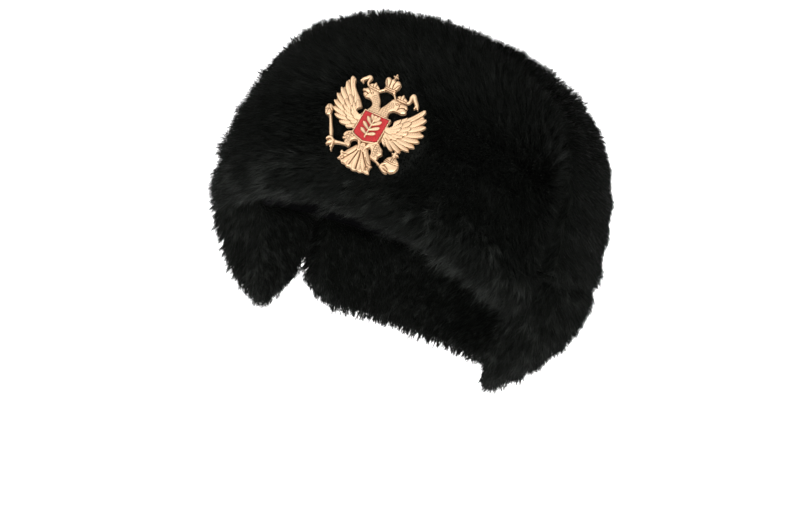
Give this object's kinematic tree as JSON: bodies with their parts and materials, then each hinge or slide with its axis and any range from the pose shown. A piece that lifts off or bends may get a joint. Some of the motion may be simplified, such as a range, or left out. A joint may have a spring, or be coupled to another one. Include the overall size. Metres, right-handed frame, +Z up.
{
  "type": "fur trapper hat with cast badge",
  "caption": "Black faux-fur winter hat with turned-up front flap, lowered ear and neck flaps and a pierced gold eagle badge.",
  "frame": {"origin": "centre of the head opening, at the height where the hat grips the head", "axes": "+X towards the wearer's left, +Y towards the back of the head, +Z up out of the crown"},
  "size_m": [0.2555, 0.2964, 0.2084],
  "materials": {
    "lining_cloth": "matte woven",
    "black_fur": "deep pile, soft sheen",
    "gilt_metal": "matte gilt",
    "red_enamel": "glossy enamel"
  },
  "bodies": {
    "root": {"crown_shell": "lining_cloth", "crown_fur": "black_fur", "front_flap": "black_fur", "ear_flap_left": "black_fur", "ear_flap_right": "black_fur", "neck_flap": "black_fur", "badge_eagle": "gilt_metal", "badge_shield": "red_enamel", "badge_charge": "gilt_metal"}
  },
  "joints": []
}
